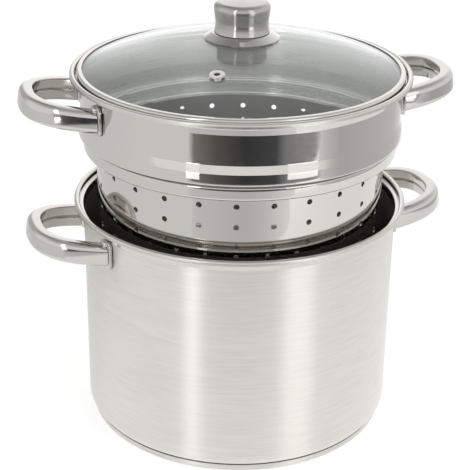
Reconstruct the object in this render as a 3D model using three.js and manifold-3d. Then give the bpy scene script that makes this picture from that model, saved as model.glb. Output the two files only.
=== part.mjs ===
// Stainless steel pasta pot: a stockpot, a lift-out perforated insert and a glass lid.
// Millimetres, +Z up, origin at the centre of the base's underside. The pot's handles lie along X.
// The insert stands lifted part of the way out of the pot, with the lid on its rim.

import * as THREE from "three";
import { mergeGeometries, mergeVertices } from "three/addons/utils/BufferGeometryUtils.js";
import Module from "manifold-3d";

// Sizes that all pieces share
const WALL_RADIUS = 130; // outside of the pot wall and of the insert's upper wall
const SHEET = 0.8; // pressed steel of the pot and the insert
const FIT_GAP = 0.3; // between pieces that touch
const RING_FACETS = 28; // round every large turned piece
const SMALL_FACETS = 16; // round the knob and its fasteners

// Rim, the same on the pot and on the insert, so that the lid fits both
const FLARE_DEPTH = 11; // from the lip's crest down to the straight wall
const LEDGE_DEPTH = 5; // from the lip's crest down to the ledge that carries the lid
const LEDGE_WIDTH = 3.4; // flare and ledge together, beyond the wall
const LEDGE_FLAT = 2.4; // level part of the ledge
const LIP_OVERHANG = 7.5;
const LIP_ROLL = 1.6; // radius of the rolled lip, on its centre line
const LIP_TURN = 3.6; // height of the turned-down lip

// Pot and its capsule base
const POT_HEIGHT = 194;
const POT_CORNER = 9;
const CORE_THICKNESS = 5;
const CORE_CLEARANCE = 3.9; // core inside the cap
const CAP_INSET = 3.5; // cap inside the pot wall
const CAP_SHEET = 0.6;
const CAP_CORNER = 3.5;

// Collar of the insert, measured from its seat, the underside of the bead
const INSERT_LIFT = 62; // from the seat on the pot's ledge to where the insert stands
const INSERT_TURN = -4; // degrees from the pot's handles to the insert's, as it was put in
const COLLAR_HEIGHT = 50.5; // seat to lip crest
const SEAT_CLEARANCE = 0.7; // bead inside the pot's rim, and lid inside the insert's rim
const BEAD_HEIGHT = 9.2;
const BEAD_LEAN = 0.7; // how far the bead's face falls back towards its top
const BEAD_CORNER = 0.9;
const SHOULDER_HEIGHT = 6.8;
const GROOVE_HEIGHT = 3.4; // groove between the bead and the plug
const GROOVE_DEPTH = 1.4;
const PLUG_DEPTH = 13; // seat to the plug's lower edge
const PLUG_CLEARANCE = 1.2; // plug inside the pot wall
const PLUG_CORNER = 1.6;

// Perforated basket
const BASKET_INSET = 12; // basket inside the pot wall
const BASKET_DEPTH = 126; // plug's lower edge to the underside of the floor
const BASKET_CORNER = 9;
const BASKET_FLANGE = 4.5;
const SHELF_CLEARANCE = 0.9; // basket wall inside the collar's shelf
const HOLE_DIAMETER = 4.6;
const HOLE_SIDES = 6;
const PUNCH_LENGTH = 8;
const HOLE_COLUMNS = 26;
const HOLE_ROWS = 7;
const ROW_PITCH = 16.7;
const FIRST_ROW = 8.4; // below the plug's lower edge
const COLUMN_TURN = 1; // degree that the columns are turned from the pot handles' axis
const FLOOR_RINGS = 2;
const FLOOR_RING_PITCH = 42;
const FLOOR_RING_HOLES = 6; // holes that each ring has more than the one inside it

// Hollow loop handles and their weld brackets
const HANDLE_SPAN = 84; // between the centre lines of the two legs
const HANDLE_REACH = 44; // centre line beyond the wall
const HANDLE_DROP = 22; // lip crest to the legs' centre line
const HANDLE_SQUARENESS = 2.55; // exponent of the loop's superellipse
const HANDLE_RISE = 9; // degrees
const HANDLE_HEIGHT = 18;
const HANDLE_WIDTH = 10.5;
const HANDLE_ROUND = 4.6; // chamfers that round off the outer side
const HANDLE_CREASE = 1.4; // chamfers on the inner side
const HANDLE_WALL = 1.2;
const HANDLE_STEPS = 12;
const HANDLE_ROOT = 9; // how far the legs run in past the wall radius before they are cut to it
const BRACKET_THICKNESS = 2.4;
const BRACKET_WIDTH = 14;
const BRACKET_HEIGHT = 24;
const BRACKET_CORNER = 5;

// Glass lid
const GLASS_THICKNESS = 4;
const GLASS_RISE = 25;
const CHANNEL_SHEET = 0.6;
const CHANNEL_WIDTH = 4.2; // of the steel rim seen from above
const CHANNEL_ROUND = 0.7;
const VENT_DISTANCE = 78; // vent from the lid's axis
const VENT_FACET = 3; // facets round from the front towards the left handle
const VENT_PAD = 7.5; // half the width of the straight ring of glass that carries the vent
const VENT_HOLE = 2.2; // radius of the vent itself
const VENT_TUBE = 3.6;
const VENT_FLANGE = 6.2;
const VENT_FLANGE_HEIGHT = 0.9;

// Knob and its fastening
const KNOB_HEIGHT = 24.5;
const KNOB_TOP_RADIUS = 22.7;
const KNOB_WAIST_RADIUS = 21;
const KNOB_FOOT_RADIUS = 22.3;
const KNOB_EDGE = 4.5; // rounding of the top edge
const KNOB_CROWN = 0.45; // rise of the top from its edge to its middle
const KNOB_SHEET = 0.9;
const BRIM_RADIUS = 30.3;
const BRIM_FLAT = 23.5;
const BRIM_SLOPE = 4.2; // fall from the flat to the edge
const BRIM_SHEET = 0.9;
const GASKET_RADIUS = 14;
const WASHER_RADIUS = 9;
const WASHER_THICKNESS = 1.2;
const SCREW_RADIUS = 2.5;
const SCREW_HEAD_RADIUS = 5;
const SCREW_HEAD_HEIGHT = 3;
const SCREW_ENGAGEMENT = 12; // thread inside the knob's core
const SCREW_CLEARANCE = 0.5;

// An arc is cut into twice as many pieces as this, and points closer than the second merge
const CURVE_PIECES = 1;
const SAME_POINT = 1e-3;

// Radii that follow from the sizes above, on the sheet's centre line unless said
const wallLine = WALL_RADIUS - SHEET / 2;
const ledgeEnd = wallLine + LEDGE_WIDTH;
const lipEdge = wallLine + LIP_OVERHANG;
const seatRadius = ledgeEnd - SHEET / 2 - SEAT_CLEARANCE; // outside of what sits inside a rim
const plugLine = WALL_RADIUS - SHEET - PLUG_CLEARANCE - SHEET / 2;
const basketRadius = WALL_RADIUS - BASKET_INSET; // outside
const basketLine = basketRadius - SHEET / 2;
const capRadius = WALL_RADIUS - CAP_INSET; // outside

const library = await Module();
library.setup();

const steel = { mirror: [0xc9c7c4, 0.12], brushed: [0xc8c8ca, 0.38], satin: [0xb9b7b4, 0.25] };

/** Material of a bare metal finish, given as its colour and roughness. */
function metal([color, roughness]) {
  return new THREE.MeshStandardMaterial({ color, roughness, metalness: 1 });
}

/** Adds a named piece to a group and returns its mesh. */
function addPiece(group, name, geometry, material) {
  const mesh = new THREE.Mesh(geometry, material);
  mesh.name = name;
  group.add(mesh);
  return mesh;
}

/** Height at which a piece rests on the ledge of a rim whose crest is at the given height. */
function onLedge(crest) {
  return crest - LEDGE_DEPTH + SHEET / 2 + FIT_GAP;
}

/** Corner points from pairs of radius and height, or of any two axes. */
function corners(pairs) {
  return pairs.map(([x, y]) => new THREE.Vector2(x, y));
}

/** Points of a path, with those that coincide dropped. */
function pathPoints(path, pieces = CURVE_PIECES) {
  const points = path.getPoints(pieces);
  return points.filter((point, i) => i === 0 || point.distanceTo(points[i - 1]) > SAME_POINT);
}

/** Closed outline of a bent sheet: its centre line, run from the axis outwards, thickened with mitres. */
function sheetOutline(line, thickness) {
  const normals = line.slice(1).map((point, i) => {
    const along = point.clone().sub(line[i]).normalize();
    return new THREE.Vector2(along.y, -along.x);
  });
  const offset = (distance) =>
    line.map((point, i) => {
      const before = normals[Math.max(i - 1, 0)];
      const after = normals[Math.min(i, normals.length - 1)];
      const mitre = before.clone().add(after).normalize();
      return point.clone().addScaledVector(mitre, distance / mitre.dot(before));
    });
  return [...offset(thickness / 2), ...offset(-thickness / 2).reverse()];
}

/** Solid of revolution about Z. The outline runs anticlockwise in radius and height. */
function turned(outline, facets = RING_FACETS) {
  const onAxis = outline[0].x < SAME_POINT && outline.at(-1).x < SAME_POINT;
  const closed = onAxis ? outline : [...outline, outline[0]];
  return new THREE.LatheGeometry(closed, facets).rotateX(Math.PI / 2);
}

/** Solid of revolution with a rectangular section: a disc where the inner radius is 0. */
function turnedRing(inner, outer, low, high, facets = RING_FACETS) {
  const outline = [
    [inner, low],
    [outer, low],
    [outer, high],
    [inner, high],
  ];
  return turned(corners(outline), facets);
}

/** Geometry to a solid for cutting and joining. */
function solidOf(geometry) {
  const bare = new THREE.BufferGeometry();
  const whole = geometry.index ? geometry.toNonIndexed() : geometry;
  bare.setAttribute("position", whole.getAttribute("position"));
  const welded = mergeVertices(bare, SAME_POINT);
  const mesh = new library.Mesh({
    numProp: 3,
    vertProperties: welded.getAttribute("position").array,
    triVerts: new Uint32Array(welded.index.array),
  });
  return new library.Manifold(mesh);
}

/** Solid back to geometry. */
function geometryOf(solid) {
  const mesh = solid.getMesh();
  const geometry = new THREE.BufferGeometry();
  geometry.setAttribute("position", new THREE.BufferAttribute(mesh.vertProperties, 3));
  geometry.setIndex(new THREE.BufferAttribute(mesh.triVerts, 1));
  geometry.computeVertexNormals();
  return geometry;
}

/** Continues a centre line up a wall and out through the flare, the ledge, the step and the rolled lip. */
function addRim(path, crest) {
  const foot = crest - FLARE_DEPTH;
  const ledge = crest - LEDGE_DEPTH;
  const ledgeStart = ledgeEnd - LEDGE_FLAT;
  const roll = { x: lipEdge - LIP_ROLL, y: crest - SHEET / 2 - LIP_ROLL };
  path.lineTo(wallLine, foot);
  path.absellipse(ledgeStart, foot, ledgeStart - wallLine, ledge - foot, Math.PI, Math.PI / 2, true);
  path.lineTo(ledgeEnd, ledge);
  path.absarc(roll.x, roll.y, LIP_ROLL, Math.PI, Math.PI / 2, true);
  path.absarc(roll.x, roll.y, LIP_ROLL, Math.PI / 2, 0, true);
  path.lineTo(lipEdge, crest - LIP_TURN);
}

/** Floor and corner of a cup on the centre line, from the axis to the start of its wall. */
function cupFloor(wall, floor, corner) {
  const path = new THREE.Path();
  path.moveTo(0, floor);
  path.lineTo(wall - corner, floor);
  path.absarc(wall - corner, floor + corner, corner, -Math.PI / 2, 0, false);
  return path;
}

const potFloor = CAP_SHEET + CORE_THICKNESS + 2 * FIT_GAP; // underside of the pot's own floor

function potBody() {
  const path = cupFloor(wallLine, potFloor + SHEET / 2, POT_CORNER - SHEET / 2);
  addRim(path, POT_HEIGHT);
  return turned(sheetOutline(pathPoints(path), SHEET));
}

/** Thick aluminium disc that spreads the heat, closed in between the pot and the cap. */
function baseCore() {
  const low = CAP_SHEET + FIT_GAP;
  return turnedRing(0, capRadius - CAP_SHEET - CORE_CLEARANCE, low, low + CORE_THICKNESS);
}

/** Shallow steel dish under the core. Its edge ends just below the pot's rounded corner. */
function baseCap() {
  const capLine = capRadius - CAP_SHEET / 2;
  const run = POT_CORNER - CAP_INSET;
  const edge = potFloor + POT_CORNER - Math.sqrt(POT_CORNER ** 2 - run ** 2) - FIT_GAP;
  const path = cupFloor(capLine, CAP_SHEET / 2, CAP_CORNER);
  path.lineTo(capLine, edge);
  return turned(sheetOutline(pathPoints(path), CAP_SHEET));
}

/** Stepped collar of the insert: shelf, plug, groove, bead, shoulder, wall and rim. */
function insertCollar() {
  const beadLine = seatRadius - SHEET / 2;
  const beadFloor = SHEET / 2;
  const shelf = -PLUG_DEPTH + SHEET / 2;
  const grooveLine = plugLine - GROOVE_DEPTH;
  const grooveFoot = beadFloor - GROOVE_HEIGHT;
  const path = new THREE.Path();
  path.moveTo(basketRadius + SHELF_CLEARANCE, shelf);
  path.lineTo(plugLine - PLUG_CORNER, shelf);
  path.absarc(plugLine - PLUG_CORNER, shelf + PLUG_CORNER, PLUG_CORNER, -Math.PI / 2, 0, false);
  path.lineTo(plugLine, grooveFoot);
  path.lineTo(grooveLine, grooveFoot + GROOVE_DEPTH);
  path.lineTo(grooveLine, beadFloor);
  path.absarc(beadLine - BEAD_CORNER, beadFloor + BEAD_CORNER, BEAD_CORNER, -Math.PI / 2, 0, false);
  path.lineTo(beadLine - BEAD_LEAN, BEAD_HEIGHT);
  path.lineTo(wallLine, BEAD_HEIGHT + SHOULDER_HEIGHT);
  addRim(path, COLLAR_HEIGHT);
  return turned(sheetOutline(pathPoints(path), SHEET));
}

/** Punch for one drain hole, along Y. */
function holePunch() {
  return new THREE.CylinderGeometry(HOLE_DIAMETER / 2, HOLE_DIAMETER / 2, PUNCH_LENGTH, HOLE_SIDES);
}

/** Punches for the side holes, one in the middle of each facet and row. */
function sideHolePunches() {
  const punches = [];
  for (let row = 0; row < HOLE_ROWS; row += 1) {
    for (let column = 0; column < HOLE_COLUMNS; column += 1) {
      const punch = holePunch();
      punch.translate(0, -basketLine, 0);
      punch.rotateZ(((column + 0.5) * 2 * Math.PI) / HOLE_COLUMNS);
      punch.translate(0, 0, -PLUG_DEPTH - FIRST_ROW - row * ROW_PITCH);
      punches.push(punch);
    }
  }
  return punches;
}

/** Punches for the floor holes: one at the centre and rings round it. */
function floorHolePunches(floor) {
  const punches = [];
  for (let ring = 0; ring <= FLOOR_RINGS; ring += 1) {
    const count = Math.max(ring * FLOOR_RING_HOLES, 1);
    for (let i = 0; i < count; i += 1) {
      const punch = holePunch();
      punch.rotateX(Math.PI / 2);
      punch.translate(ring * FLOOR_RING_PITCH, 0, floor);
      punch.rotateZ((i * 2 * Math.PI) / count);
      punches.push(punch);
    }
  }
  return punches;
}

/** Perforated cup that hangs by its flange on the collar's shelf. */
function insertBasket() {
  const floor = -PLUG_DEPTH - BASKET_DEPTH + SHEET / 2;
  const flange = -PLUG_DEPTH + SHEET + FIT_GAP + SHEET / 2;
  const path = cupFloor(basketLine, floor, BASKET_CORNER);
  path.lineTo(basketLine, flange);
  path.lineTo(basketLine + BASKET_FLANGE, flange);
  const cup = solidOf(turned(sheetOutline(pathPoints(path), SHEET), HOLE_COLUMNS));
  const punches = mergeGeometries([...sideHolePunches(), ...floorHolePunches(floor)]);
  const basket = geometryOf(cup.subtract(solidOf(punches)));
  return basket.rotateZ(THREE.MathUtils.degToRad(COLUMN_TURN));
}

/** Centre line of a loop handle, level: half of a superellipse that leaves the wall along X. */
class HandleLoop extends THREE.Curve {
  getPoint(t, target = new THREE.Vector3()) {
    const angle = (t - 0.5) * Math.PI;
    const power = 2 / HANDLE_SQUARENESS;
    const x = (HANDLE_REACH + HANDLE_ROOT) * Math.max(Math.cos(angle), 0) ** power;
    const y = (HANDLE_SPAN / 2) * Math.sign(angle) * Math.abs(Math.sin(angle)) ** power;
    return target.set(WALL_RADIUS - HANDLE_ROOT + x, y, 0);
  }
}

/** Section of a handle: round outside, creased inside. x is height, y points into the loop. */
function handleSection(inset, crease) {
  const half = HANDLE_HEIGHT / 2 - inset;
  const depth = HANDLE_WIDTH / 2 - inset;
  const side = [
    [half - HANDLE_ROUND, -depth],
    [half, HANDLE_ROUND - depth],
    [half, depth - crease],
  ];
  if (crease > 0) {
    side.push([half - crease, depth]);
  }
  const mirrored = side.map(([x, y]) => [-x, y]).reverse();
  return corners([...side, ...mirrored]);
}

/** Loop handle of hollow section, tilted up, turned to its side and cut to the brackets' curved faces. */
function handleTube(height, turn) {
  const section = new THREE.Shape(handleSection(0, HANDLE_CREASE));
  section.holes.push(new THREE.Path(handleSection(HANDLE_WALL, 0)));
  const settings = { steps: HANDLE_STEPS, bevelEnabled: false, extrudePath: new HandleLoop() };
  const tube = new THREE.ExtrudeGeometry(section, settings);
  tube.translate(-WALL_RADIUS, 0, 0);
  tube.rotateY(-THREE.MathUtils.degToRad(HANDLE_RISE));
  tube.translate(WALL_RADIUS, 0, height);
  tube.rotateZ(turn);
  const face = WALL_RADIUS + BRACKET_THICKNESS + 2 * FIT_GAP;
  const trimmer = turnedRing(0, face, height - HANDLE_SPAN, height + HANDLE_SPAN);
  return geometryOf(solidOf(tube).subtract(solidOf(trimmer)));
}

/** Weld bracket under one leg: a round-cornered plate bent to the wall. */
function handleBracket(height, y, turn) {
  const half = { x: BRACKET_WIDTH / 2, y: BRACKET_HEIGHT / 2 };
  const inner = { x: half.x - BRACKET_CORNER, y: half.y - BRACKET_CORNER };
  const plate = new THREE.Shape();
  plate.absarc(inner.x, inner.y, BRACKET_CORNER, 0, Math.PI / 2, false);
  plate.absarc(-inner.x, inner.y, BRACKET_CORNER, Math.PI / 2, Math.PI, false);
  plate.absarc(-inner.x, -inner.y, BRACKET_CORNER, Math.PI, 1.5 * Math.PI, false);
  plate.absarc(inner.x, -inner.y, BRACKET_CORNER, 1.5 * Math.PI, 2 * Math.PI, false);
  const settings = { depth: 2 * WALL_RADIUS, bevelEnabled: false, curveSegments: CURVE_PIECES };
  const blank = new THREE.ExtrudeGeometry(plate, settings);
  blank.rotateX(Math.PI / 2);
  blank.rotateZ(Math.PI / 2);
  blank.translate(0, y, height);
  blank.rotateZ(turn);
  const inside = WALL_RADIUS + FIT_GAP;
  const outside = inside + BRACKET_THICKNESS;
  const wall = turnedRing(inside, outside, height - BRACKET_HEIGHT, height + BRACKET_HEIGHT);
  return geometryOf(solidOf(blank).intersect(solidOf(wall)));
}

/** Two handles opposite each other on a wall, each with its front and back bracket. */
function addHandles(group, owner, crest, degrees) {
  const height = crest - HANDLE_DROP;
  const sides = { left: { opposite: Math.PI, front: 1 }, right: { opposite: 0, front: -1 } };
  for (const [side, { opposite, front }] of Object.entries(sides)) {
    const turn = opposite + THREE.MathUtils.degToRad(degrees);
    const brackets = { front: (front * HANDLE_SPAN) / 2, back: (-front * HANDLE_SPAN) / 2 };
    addPiece(group, `${owner}_handle_${side}`, handleTube(height, turn), metal(steel.mirror));
    for (const [end, y] of Object.entries(brackets)) {
      const plate = handleBracket(height, y, turn);
      addPiece(group, `${owner}_bracket_${side}_${end}`, plate, metal(steel.satin));
    }
  }
}

// Lid heights are measured from the underside of its steel rim
const channelHeight = GLASS_THICKNESS + 2 * CHANNEL_SHEET + 2 * FIT_GAP;
const glassRadius = seatRadius - CHANNEL_SHEET - FIT_GAP;
const glassMiddle = channelHeight / 2; // of the glass's flat edge, inside the channel
const domeEdge = seatRadius - CHANNEL_WIDTH - FIT_GAP; // where the flat edge turns up into the dome
const domeRadius = (domeEdge ** 2 + GLASS_RISE ** 2) / (2 * GLASS_RISE); // middle of the glass
const domeCentre = glassMiddle + GLASS_RISE - domeRadius;
const screwHole = SCREW_RADIUS + SCREW_CLEARANCE;

/** Height of the dome at a distance from the axis, so far above the middle of the glass. */
function domeHeight(distance, above) {
  return domeCentre + Math.sqrt((domeRadius + above) ** 2 - distance ** 2);
}

const glassTop = domeHeight(GASKET_RADIUS, 0); // middle of the glass under the knob

/** Places something that is modelled along Z on the middle of the vent's facet, square to the glass. */
function atVent(geometry) {
  const inner = domeHeight(VENT_DISTANCE - VENT_PAD, 0);
  const outer = domeHeight(VENT_DISTANCE + VENT_PAD, 0);
  const flatness = Math.cos(Math.PI / RING_FACETS);
  geometry.rotateY(Math.atan2(inner - outer, 2 * VENT_PAD * flatness));
  geometry.translate(VENT_DISTANCE * flatness, 0, (inner + outer) / 2);
  return geometry.rotateZ(-Math.PI / 2 - ((VENT_FACET - 0.5) * 2 * Math.PI) / RING_FACETS);
}

/** Domed glass with a level middle for the knob, a screw hole and a vent hole. */
function lidGlass() {
  const pad = [VENT_DISTANCE - VENT_PAD, VENT_DISTANCE + VENT_PAD];
  const distances = [GASKET_RADIUS, BRIM_RADIUS, ...pad, (pad[1] + domeEdge) / 2, domeEdge];
  const dome = distances.map((distance) => [distance, domeHeight(distance, 0)]);
  const line = corners([[screwHole, glassTop], ...dome, [glassRadius, glassMiddle]]);
  const whole = solidOf(turned(sheetOutline(line, GLASS_THICKNESS)));
  const bore = VENT_TUBE + FIT_GAP;
  const punch = new THREE.CylinderGeometry(bore, bore, GLASS_RISE, SMALL_FACETS).rotateX(Math.PI / 2);
  return geometryOf(whole.subtract(solidOf(atVent(punch))));
}

/** Steel channel folded round the edge of the glass. */
function lidRim() {
  const outer = seatRadius - CHANNEL_SHEET / 2;
  const low = CHANNEL_SHEET / 2;
  const high = channelHeight - CHANNEL_SHEET / 2;
  const path = new THREE.Path();
  path.moveTo(seatRadius - CHANNEL_WIDTH, low);
  path.lineTo(outer - CHANNEL_ROUND, low);
  path.absarc(outer - CHANNEL_ROUND, low + CHANNEL_ROUND, CHANNEL_ROUND, -Math.PI / 2, 0, false);
  path.absarc(outer - CHANNEL_ROUND, high - CHANNEL_ROUND, CHANNEL_ROUND, 0, Math.PI / 2, false);
  path.lineTo(seatRadius - CHANNEL_WIDTH, high);
  return turned(sheetOutline(pathPoints(path), CHANNEL_SHEET));
}

/** Steel eyelet clinched through the glass, with a flange on each face. */
function ventEyelet() {
  const over = GLASS_THICKNESS / 2 + FIT_GAP;
  const under = -over;
  const outline = [
    [VENT_HOLE, under - VENT_FLANGE_HEIGHT],
    [VENT_FLANGE, under - VENT_FLANGE_HEIGHT],
    [VENT_FLANGE, under],
    [VENT_TUBE, under],
    [VENT_TUBE, over],
    [VENT_FLANGE, over],
    [VENT_FLANGE - VENT_FLANGE_HEIGHT, over + VENT_FLANGE_HEIGHT],
    [VENT_HOLE, over + VENT_FLANGE_HEIGHT],
  ];
  return atVent(turned(corners(outline), SMALL_FACETS));
}

// The brim's edge rests on the glass, and the knob stands on the brim's flat
const brimEdge = domeHeight(BRIM_RADIUS, GLASS_THICKNESS / 2) + FIT_GAP;
const brimFlat = brimEdge + BRIM_SLOPE + BRIM_SHEET; // top of the flat
const knobFoot = brimFlat + FIT_GAP;
const coreRadius = KNOB_WAIST_RADIUS - KNOB_SHEET - FIT_GAP;

/** Pressed shell of the knob: slightly crowned top, rounded edge, waist and flared foot. */
function knobShell() {
  const half = KNOB_SHEET / 2;
  const waist = KNOB_WAIST_RADIUS - half;
  const widest = KNOB_TOP_RADIUS - half;
  const top = knobFoot + KNOB_HEIGHT - half;
  const shoulder = top - KNOB_EDGE;
  const edgeTop = top - KNOB_CROWN;
  const path = new THREE.Path();
  path.moveTo(KNOB_FOOT_RADIUS - half, knobFoot);
  path.quadraticCurveTo(waist, knobFoot + KNOB_EDGE, waist, knobFoot + 2 * KNOB_EDGE);
  path.quadraticCurveTo(widest, shoulder - KNOB_EDGE, widest, shoulder);
  path.quadraticCurveTo(widest, edgeTop, widest - KNOB_EDGE, edgeTop);
  path.lineTo(0, top);
  return turned(sheetOutline(pathPoints(path, 2 * CURVE_PIECES), KNOB_SHEET), SMALL_FACETS);
}

/** Heat-resistant core inside the shell, with the hole that takes the screw. */
function knobCore() {
  const top = knobFoot + KNOB_HEIGHT - 2 * KNOB_SHEET - FIT_GAP;
  const holeTop = knobFoot + SCREW_ENGAGEMENT + FIT_GAP;
  const outline = [
    [screwHole, knobFoot],
    [coreRadius, knobFoot],
    [coreRadius, top],
    [0, top],
    [0, holeTop],
    [screwHole, holeTop],
  ];
  return turned(corners(outline), SMALL_FACETS);
}

/** Brim under the knob: a flat pierced for the screw, falling to an edge that rests on the glass. */
function knobBrim() {
  const half = BRIM_SHEET / 2;
  const line = [
    [BRIM_RADIUS - half, brimEdge + half],
    [BRIM_FLAT, brimFlat - half],
    [screwHole, brimFlat - half],
  ];
  return turned(sheetOutline(corners(line), BRIM_SHEET), SMALL_FACETS);
}

/** Soft ring between the brim and the glass. */
function knobGasket() {
  const low = glassTop + GLASS_THICKNESS / 2 + FIT_GAP;
  return turnedRing(screwHole, GASKET_RADIUS, low, brimFlat - BRIM_SHEET - FIT_GAP, SMALL_FACETS);
}

const washerTop = glassTop - GLASS_THICKNESS / 2 - FIT_GAP;
const headTop = washerTop - WASHER_THICKNESS - FIT_GAP;

function knobWasher() {
  return turnedRing(screwHole, WASHER_RADIUS, washerTop - WASHER_THICKNESS, washerTop, SMALL_FACETS);
}

/** Pan-head screw from under the glass up into the knob's core. */
function knobScrew() {
  const outline = [
    [0, headTop - SCREW_HEAD_HEIGHT],
    [SCREW_HEAD_RADIUS - SCREW_CLEARANCE, headTop - SCREW_HEAD_HEIGHT],
    [SCREW_HEAD_RADIUS, headTop],
    [SCREW_RADIUS, headTop],
    [SCREW_RADIUS, knobFoot + SCREW_ENGAGEMENT],
    [0, knobFoot + SCREW_ENGAGEMENT],
  ];
  return turned(corners(outline), SMALL_FACETS);
}

function buildPot() {
  const pot = new THREE.Group();
  const aluminium = new THREE.MeshStandardMaterial({ color: 0xb4b6b8, roughness: 0.5, metalness: 1 });
  addPiece(pot, "pot_body", potBody(), metal(steel.brushed));
  addPiece(pot, "pot_base_core", baseCore(), aluminium);
  addPiece(pot, "pot_base_cap", baseCap(), metal(steel.satin));
  addHandles(pot, "pot", POT_HEIGHT, 0);
  return pot;
}

function buildInsert() {
  const insert = new THREE.Group();
  insert.position.z = onLedge(POT_HEIGHT) + INSERT_LIFT;
  addPiece(insert, "insert_collar", insertCollar(), metal(steel.mirror));
  addPiece(insert, "insert_basket", insertBasket(), metal(steel.mirror));
  addHandles(insert, "insert", COLLAR_HEIGHT, INSERT_TURN);
  return insert;
}

function buildLid() {
  const lid = new THREE.Group();
  const glass = { color: 0xdfe8e4, roughness: 0.03, metalness: 0, transparent: true, opacity: 0.35 };
  const silicone = new THREE.MeshStandardMaterial({ color: 0x2b2b2b, roughness: 0.8, metalness: 0 });
  const phenolic = new THREE.MeshStandardMaterial({ color: 0x1c1b1a, roughness: 0.6, metalness: 0 });
  lid.position.z = onLedge(COLLAR_HEIGHT);
  addPiece(lid, "lid_glass", lidGlass(), new THREE.MeshStandardMaterial(glass));
  addPiece(lid, "lid_rim", lidRim(), metal(steel.mirror));
  addPiece(lid, "lid_vent_eyelet", ventEyelet(), metal(steel.mirror));
  addPiece(lid, "knob_shell", knobShell(), metal(steel.satin));
  addPiece(lid, "knob_core", knobCore(), phenolic);
  addPiece(lid, "knob_brim", knobBrim(), metal(steel.mirror));
  addPiece(lid, "knob_gasket", knobGasket(), silicone);
  addPiece(lid, "knob_washer", knobWasher(), metal(steel.satin));
  addPiece(lid, "knob_screw", knobScrew(), metal(steel.satin));
  return lid;
}

const pastaPot = new THREE.Group();
const insert = buildInsert();
insert.add(buildLid());
pastaPot.add(buildPot(), insert);

export default pastaPot;
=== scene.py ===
"""Looks of a stainless steel pasta pot with a lift-out perforated insert and a glass lid.

Lengths in fields are in millimetres, heights are above the floor that the pot stands on, and Blender works
in metres. X runs through the pot's handles and Z is the pot's axis.
"""

import logging
import math
from collections.abc import Callable, Sequence
from dataclasses import dataclass
from enum import Enum
from typing import Any

import bpy
from mathutils import Matrix, Vector

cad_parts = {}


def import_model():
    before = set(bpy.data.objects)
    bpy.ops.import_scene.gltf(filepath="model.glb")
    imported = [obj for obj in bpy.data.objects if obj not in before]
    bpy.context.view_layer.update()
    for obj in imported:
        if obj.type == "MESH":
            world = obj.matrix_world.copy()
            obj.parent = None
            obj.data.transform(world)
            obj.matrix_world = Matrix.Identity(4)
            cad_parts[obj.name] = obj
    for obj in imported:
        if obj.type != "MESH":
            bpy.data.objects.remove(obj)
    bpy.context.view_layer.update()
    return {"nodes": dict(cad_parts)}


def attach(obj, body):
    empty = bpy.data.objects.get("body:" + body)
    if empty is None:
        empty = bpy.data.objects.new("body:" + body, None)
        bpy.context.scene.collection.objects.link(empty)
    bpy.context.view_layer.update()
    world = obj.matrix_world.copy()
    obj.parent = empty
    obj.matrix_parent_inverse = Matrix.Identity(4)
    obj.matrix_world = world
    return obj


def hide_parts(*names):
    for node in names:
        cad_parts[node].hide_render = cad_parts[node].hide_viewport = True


Piece = bpy.types.Object
Tree = bpy.types.NodeTree
Node = bpy.types.Node
Socket = bpy.types.NodeSocket
Face = bpy.types.MeshPolygon
FaceTest = Callable[[Face], bool]
PointTest = Callable[[Vector], bool]
Greys = tuple[tuple[float, str], ...]
LOG = logging.getLogger("pasta_pot")
MM = 0.001
SAME_PLACE = 1e-6
FULL_TURN = 2 * math.pi
ROUND_STEPS = 192
SMALL_STEPS = 96
ARC_PIECES = 6
SMOOTH_ANGLE = math.radians(32)
STEEP = math.cos(math.radians(60))
NOISE_LOW = 0.25
NOISE_HIGH = 0.75
MATT = 0.9
WHITE = "ffffff"


class Body(Enum):
    """Bodies that move against each other."""

    POT = "pot"
    INSERT = "insert"
    LID = "lid"


class Slot(Enum):
    """Material slots of the part's record."""

    BRUSHED = "brushed_steel"
    POLISHED = "polished_steel"
    SATIN = "satin_steel"
    ALUMINIUM = "base_aluminium"
    GLASS = "lid_glass"
    RESIN = "knob_core"
    GASKET = "gasket"


class Side(Enum):
    """Sides that carry a handle, with the turn that brings a right-hand handle there."""

    RIGHT = 0.0
    LEFT = math.pi


def linear(colour: str) -> tuple[float, float, float, float]:
    """Turns an sRGB hex colour to linear values.

    Args:
        colour: Hex digits such as "c8c6c3".

    Returns:
        Linear red, green and blue, and full opacity.
    """
    shares = [int(colour[i : i + 2], 16) / 255 for i in (0, 2, 4)]
    red, green, blue = (s / 12.92 if s <= 0.04045 else ((s + 0.055) / 1.055) ** 2.4 for s in shares)
    return red, green, blue, 1.0


def add_node(tree: Tree, kind: str, inputs: dict[Any, Any], **settings: Any) -> Node:
    """Adds a node to a tree.

    Args:
        tree: Tree of a material or of the world.
        kind: Type name of the node.
        inputs: Value, or socket to link, for each input.
        settings: Properties of the node.

    Returns:
        The new node.
    """
    node = tree.nodes.new(kind)
    for name, value in settings.items():
        setattr(node, name, value)
    for name, value in inputs.items():
        if isinstance(value, Socket):
            tree.links.new(value, node.inputs[name])
        else:
            node.inputs[name].default_value = value
    return node


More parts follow.
